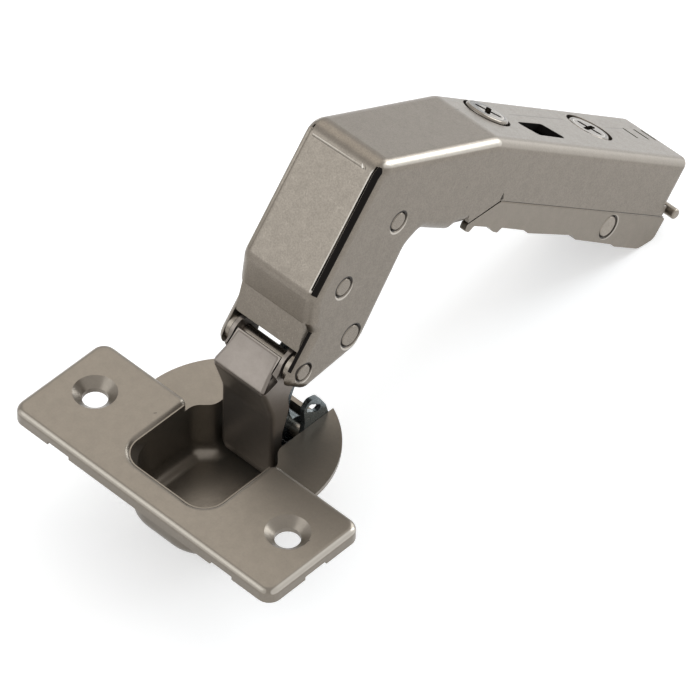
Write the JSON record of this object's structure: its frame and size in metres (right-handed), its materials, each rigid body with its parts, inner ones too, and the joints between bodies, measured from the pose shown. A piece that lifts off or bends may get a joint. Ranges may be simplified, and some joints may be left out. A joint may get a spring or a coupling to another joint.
{
  "type": "cabinet hinge",
  "caption": "Concealed cup hinge for a blind corner door, with a cranked sheet-metal arm on a folding linkage, adjusting screws and a release lever.",
  "frame": {"origin": "the cup's axis at the door's face, under the flange", "axes": "+X along the pivots, +Y from the cup towards the arm, +Z out of the door's face"},
  "size_m": [0.0604, 0.1283, 0.0675],
  "materials": {
    "cup": "satin nickel",
    "link": "satin nickel",
    "casing": "satin nickel",
    "channel": "satin nickel",
    "pin": "bright nickel",
    "zinc": "cast zinc",
    "spring": "oiled spring steel",
    "screw": "bright nickel",
    "lever": "satin nickel"
  },
  "bodies": {
    "cup": {"hinge_cup": "cup", "outer_link_pin": "pin", "inner_link_pin": "pin", "link_spacer_left": "pin", "link_spacer_right": "pin", "spring_housing": "zinc", "closing_spring": "spring"},
    "outer_link": {"outer_link": "link"},
    "inner_link": {"inner_link": "zinc"},
    "arm": {"arm_casing": "casing", "nose_pin": "pin", "inner_arm_pin": "pin", "upper_rivet": "pin", "middle_rivet": "pin", "nose_washer_left": "pin", "nose_washer_right": "pin", "inner_bush_left": "pin", "inner_bush_right": "pin"},
    "mounting_channel": {"mounting_channel": "channel", "release_rivet": "pin"},
    "side_screw": {"side_screw": "screw"},
    "depth_cam": {"depth_cam": "screw"},
    "release_lever": {"release_lever": "lever", "release_spring": "spring"}
  },
  "joints": [
    {"name": "outer_link_turn", "type": "hinge", "parent": "cup", "child": "outer_link", "pos_m": [0, 0.0075, -0.0065], "axis": [1, 0, 0], "range_deg": [-62.28, 43.28]},
    {"name": "arm_turn", "type": "hinge", "parent": "outer_link", "child": "arm", "pos_m": [0, 0.00862, 0.01684], "axis": [1, 0, 0], "range_deg": [-4.4, 6.3]},
    {"name": "inner_link_turn", "type": "hinge", "parent": "cup", "child": "inner_link", "pos_m": [0, 0.0126, -0.0042], "axis": [1, 0, 0], "range_deg": [-71.3, 49.6]},
    {"name": "depth_slide", "type": "slide", "parent": "arm", "child": "mounting_channel", "axis": [0, 0.7777, -0.6286], "range_m": [0, 0.003]},
    {"name": "depth_cam_turn", "type": "hinge", "parent": "arm", "child": "depth_cam", "pos_m": [-0.00125, 0.08998, 0.00996], "axis": [0, 0.6286, 0.7777], "range_deg": [0, 98]},
    {"name": "side_screw_turn", "type": "hinge", "parent": "arm", "child": "side_screw", "pos_m": [-0.0022, 0.06393, 0.03102], "axis": [0, 0.6286, 0.7777], "range_deg": [-180, 180]},
    {"name": "release_lever_turn", "type": "hinge", "parent": "mounting_channel", "child": "release_lever", "pos_m": [0, 0.08507, -0.00407], "axis": [1, 0, 0], "range_deg": [-12, 0], "stiffness_Nm_per_rad": 0.05, "springref_deg": 8.59}
  ],
  "couplings": [
    {"joint": "arm_turn", "follows": "outer_link_turn", "ratio": -0.1},
    {"joint": "inner_link_turn", "follows": "outer_link_turn", "ratio": 1.143},
    {"joint": "depth_cam_turn", "follows": "depth_slide", "rad_per_m": 565.5}
  ]
}
